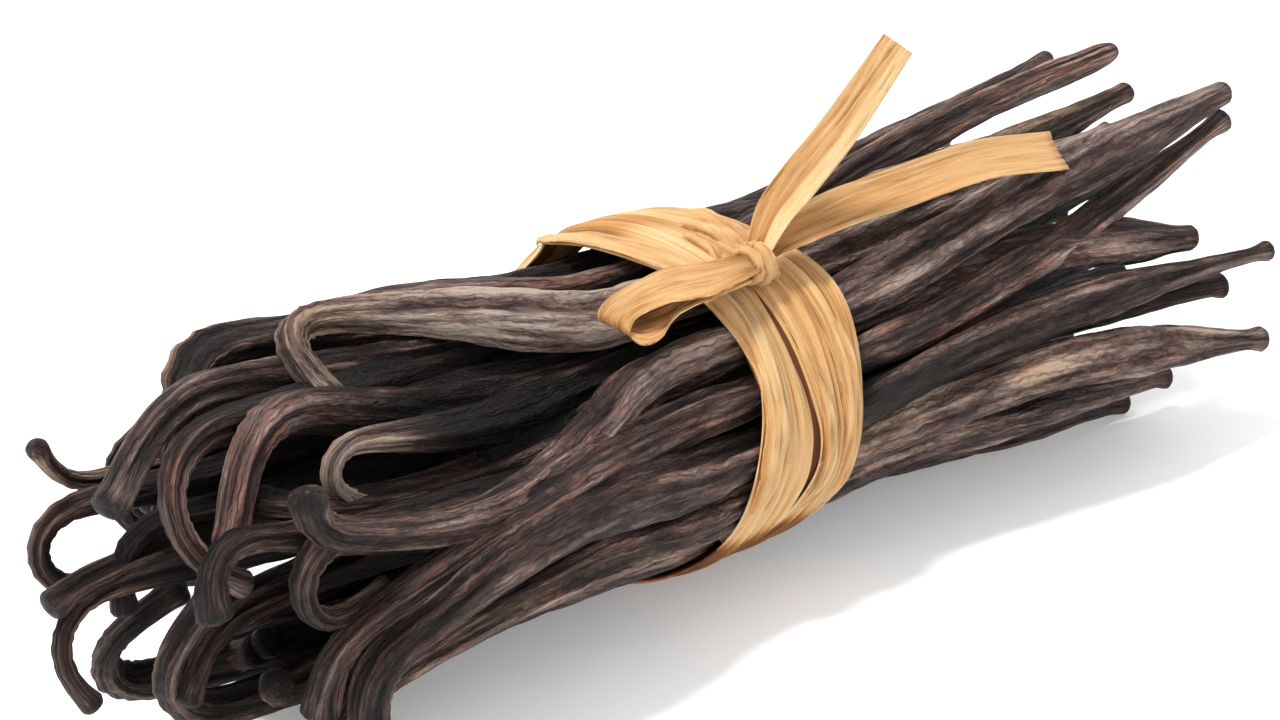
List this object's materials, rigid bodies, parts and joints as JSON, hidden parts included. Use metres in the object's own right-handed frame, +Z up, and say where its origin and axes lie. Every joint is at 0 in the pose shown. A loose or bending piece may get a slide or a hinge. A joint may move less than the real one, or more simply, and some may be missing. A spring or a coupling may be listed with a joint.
{
  "type": "bundle of vanilla pods",
  "caption": "Bundle of long cured vanilla pods with hooked stem ends, drawn in at the waist by a flat raffia tie with a knot, a loop and loose tails.",
  "frame": {"origin": "centre of the bundle's footprint on the floor it lies on", "axes": "+X along the pods towards their blossom tips, the hooked stem ends at -X, -Y the side with the raffia knot, +Z up"},
  "size_m": [0.1868, 0.0625, 0.0715],
  "materials": {
    "pod_skin": "oily, finely wrinkled lengthwise",
    "raffia": "satin, fibrous"
  },
  "bodies": {
    "root": {"vanilla_pods": "pod_skin", "raffia_tie": "raffia"}
  },
  "joints": []
}
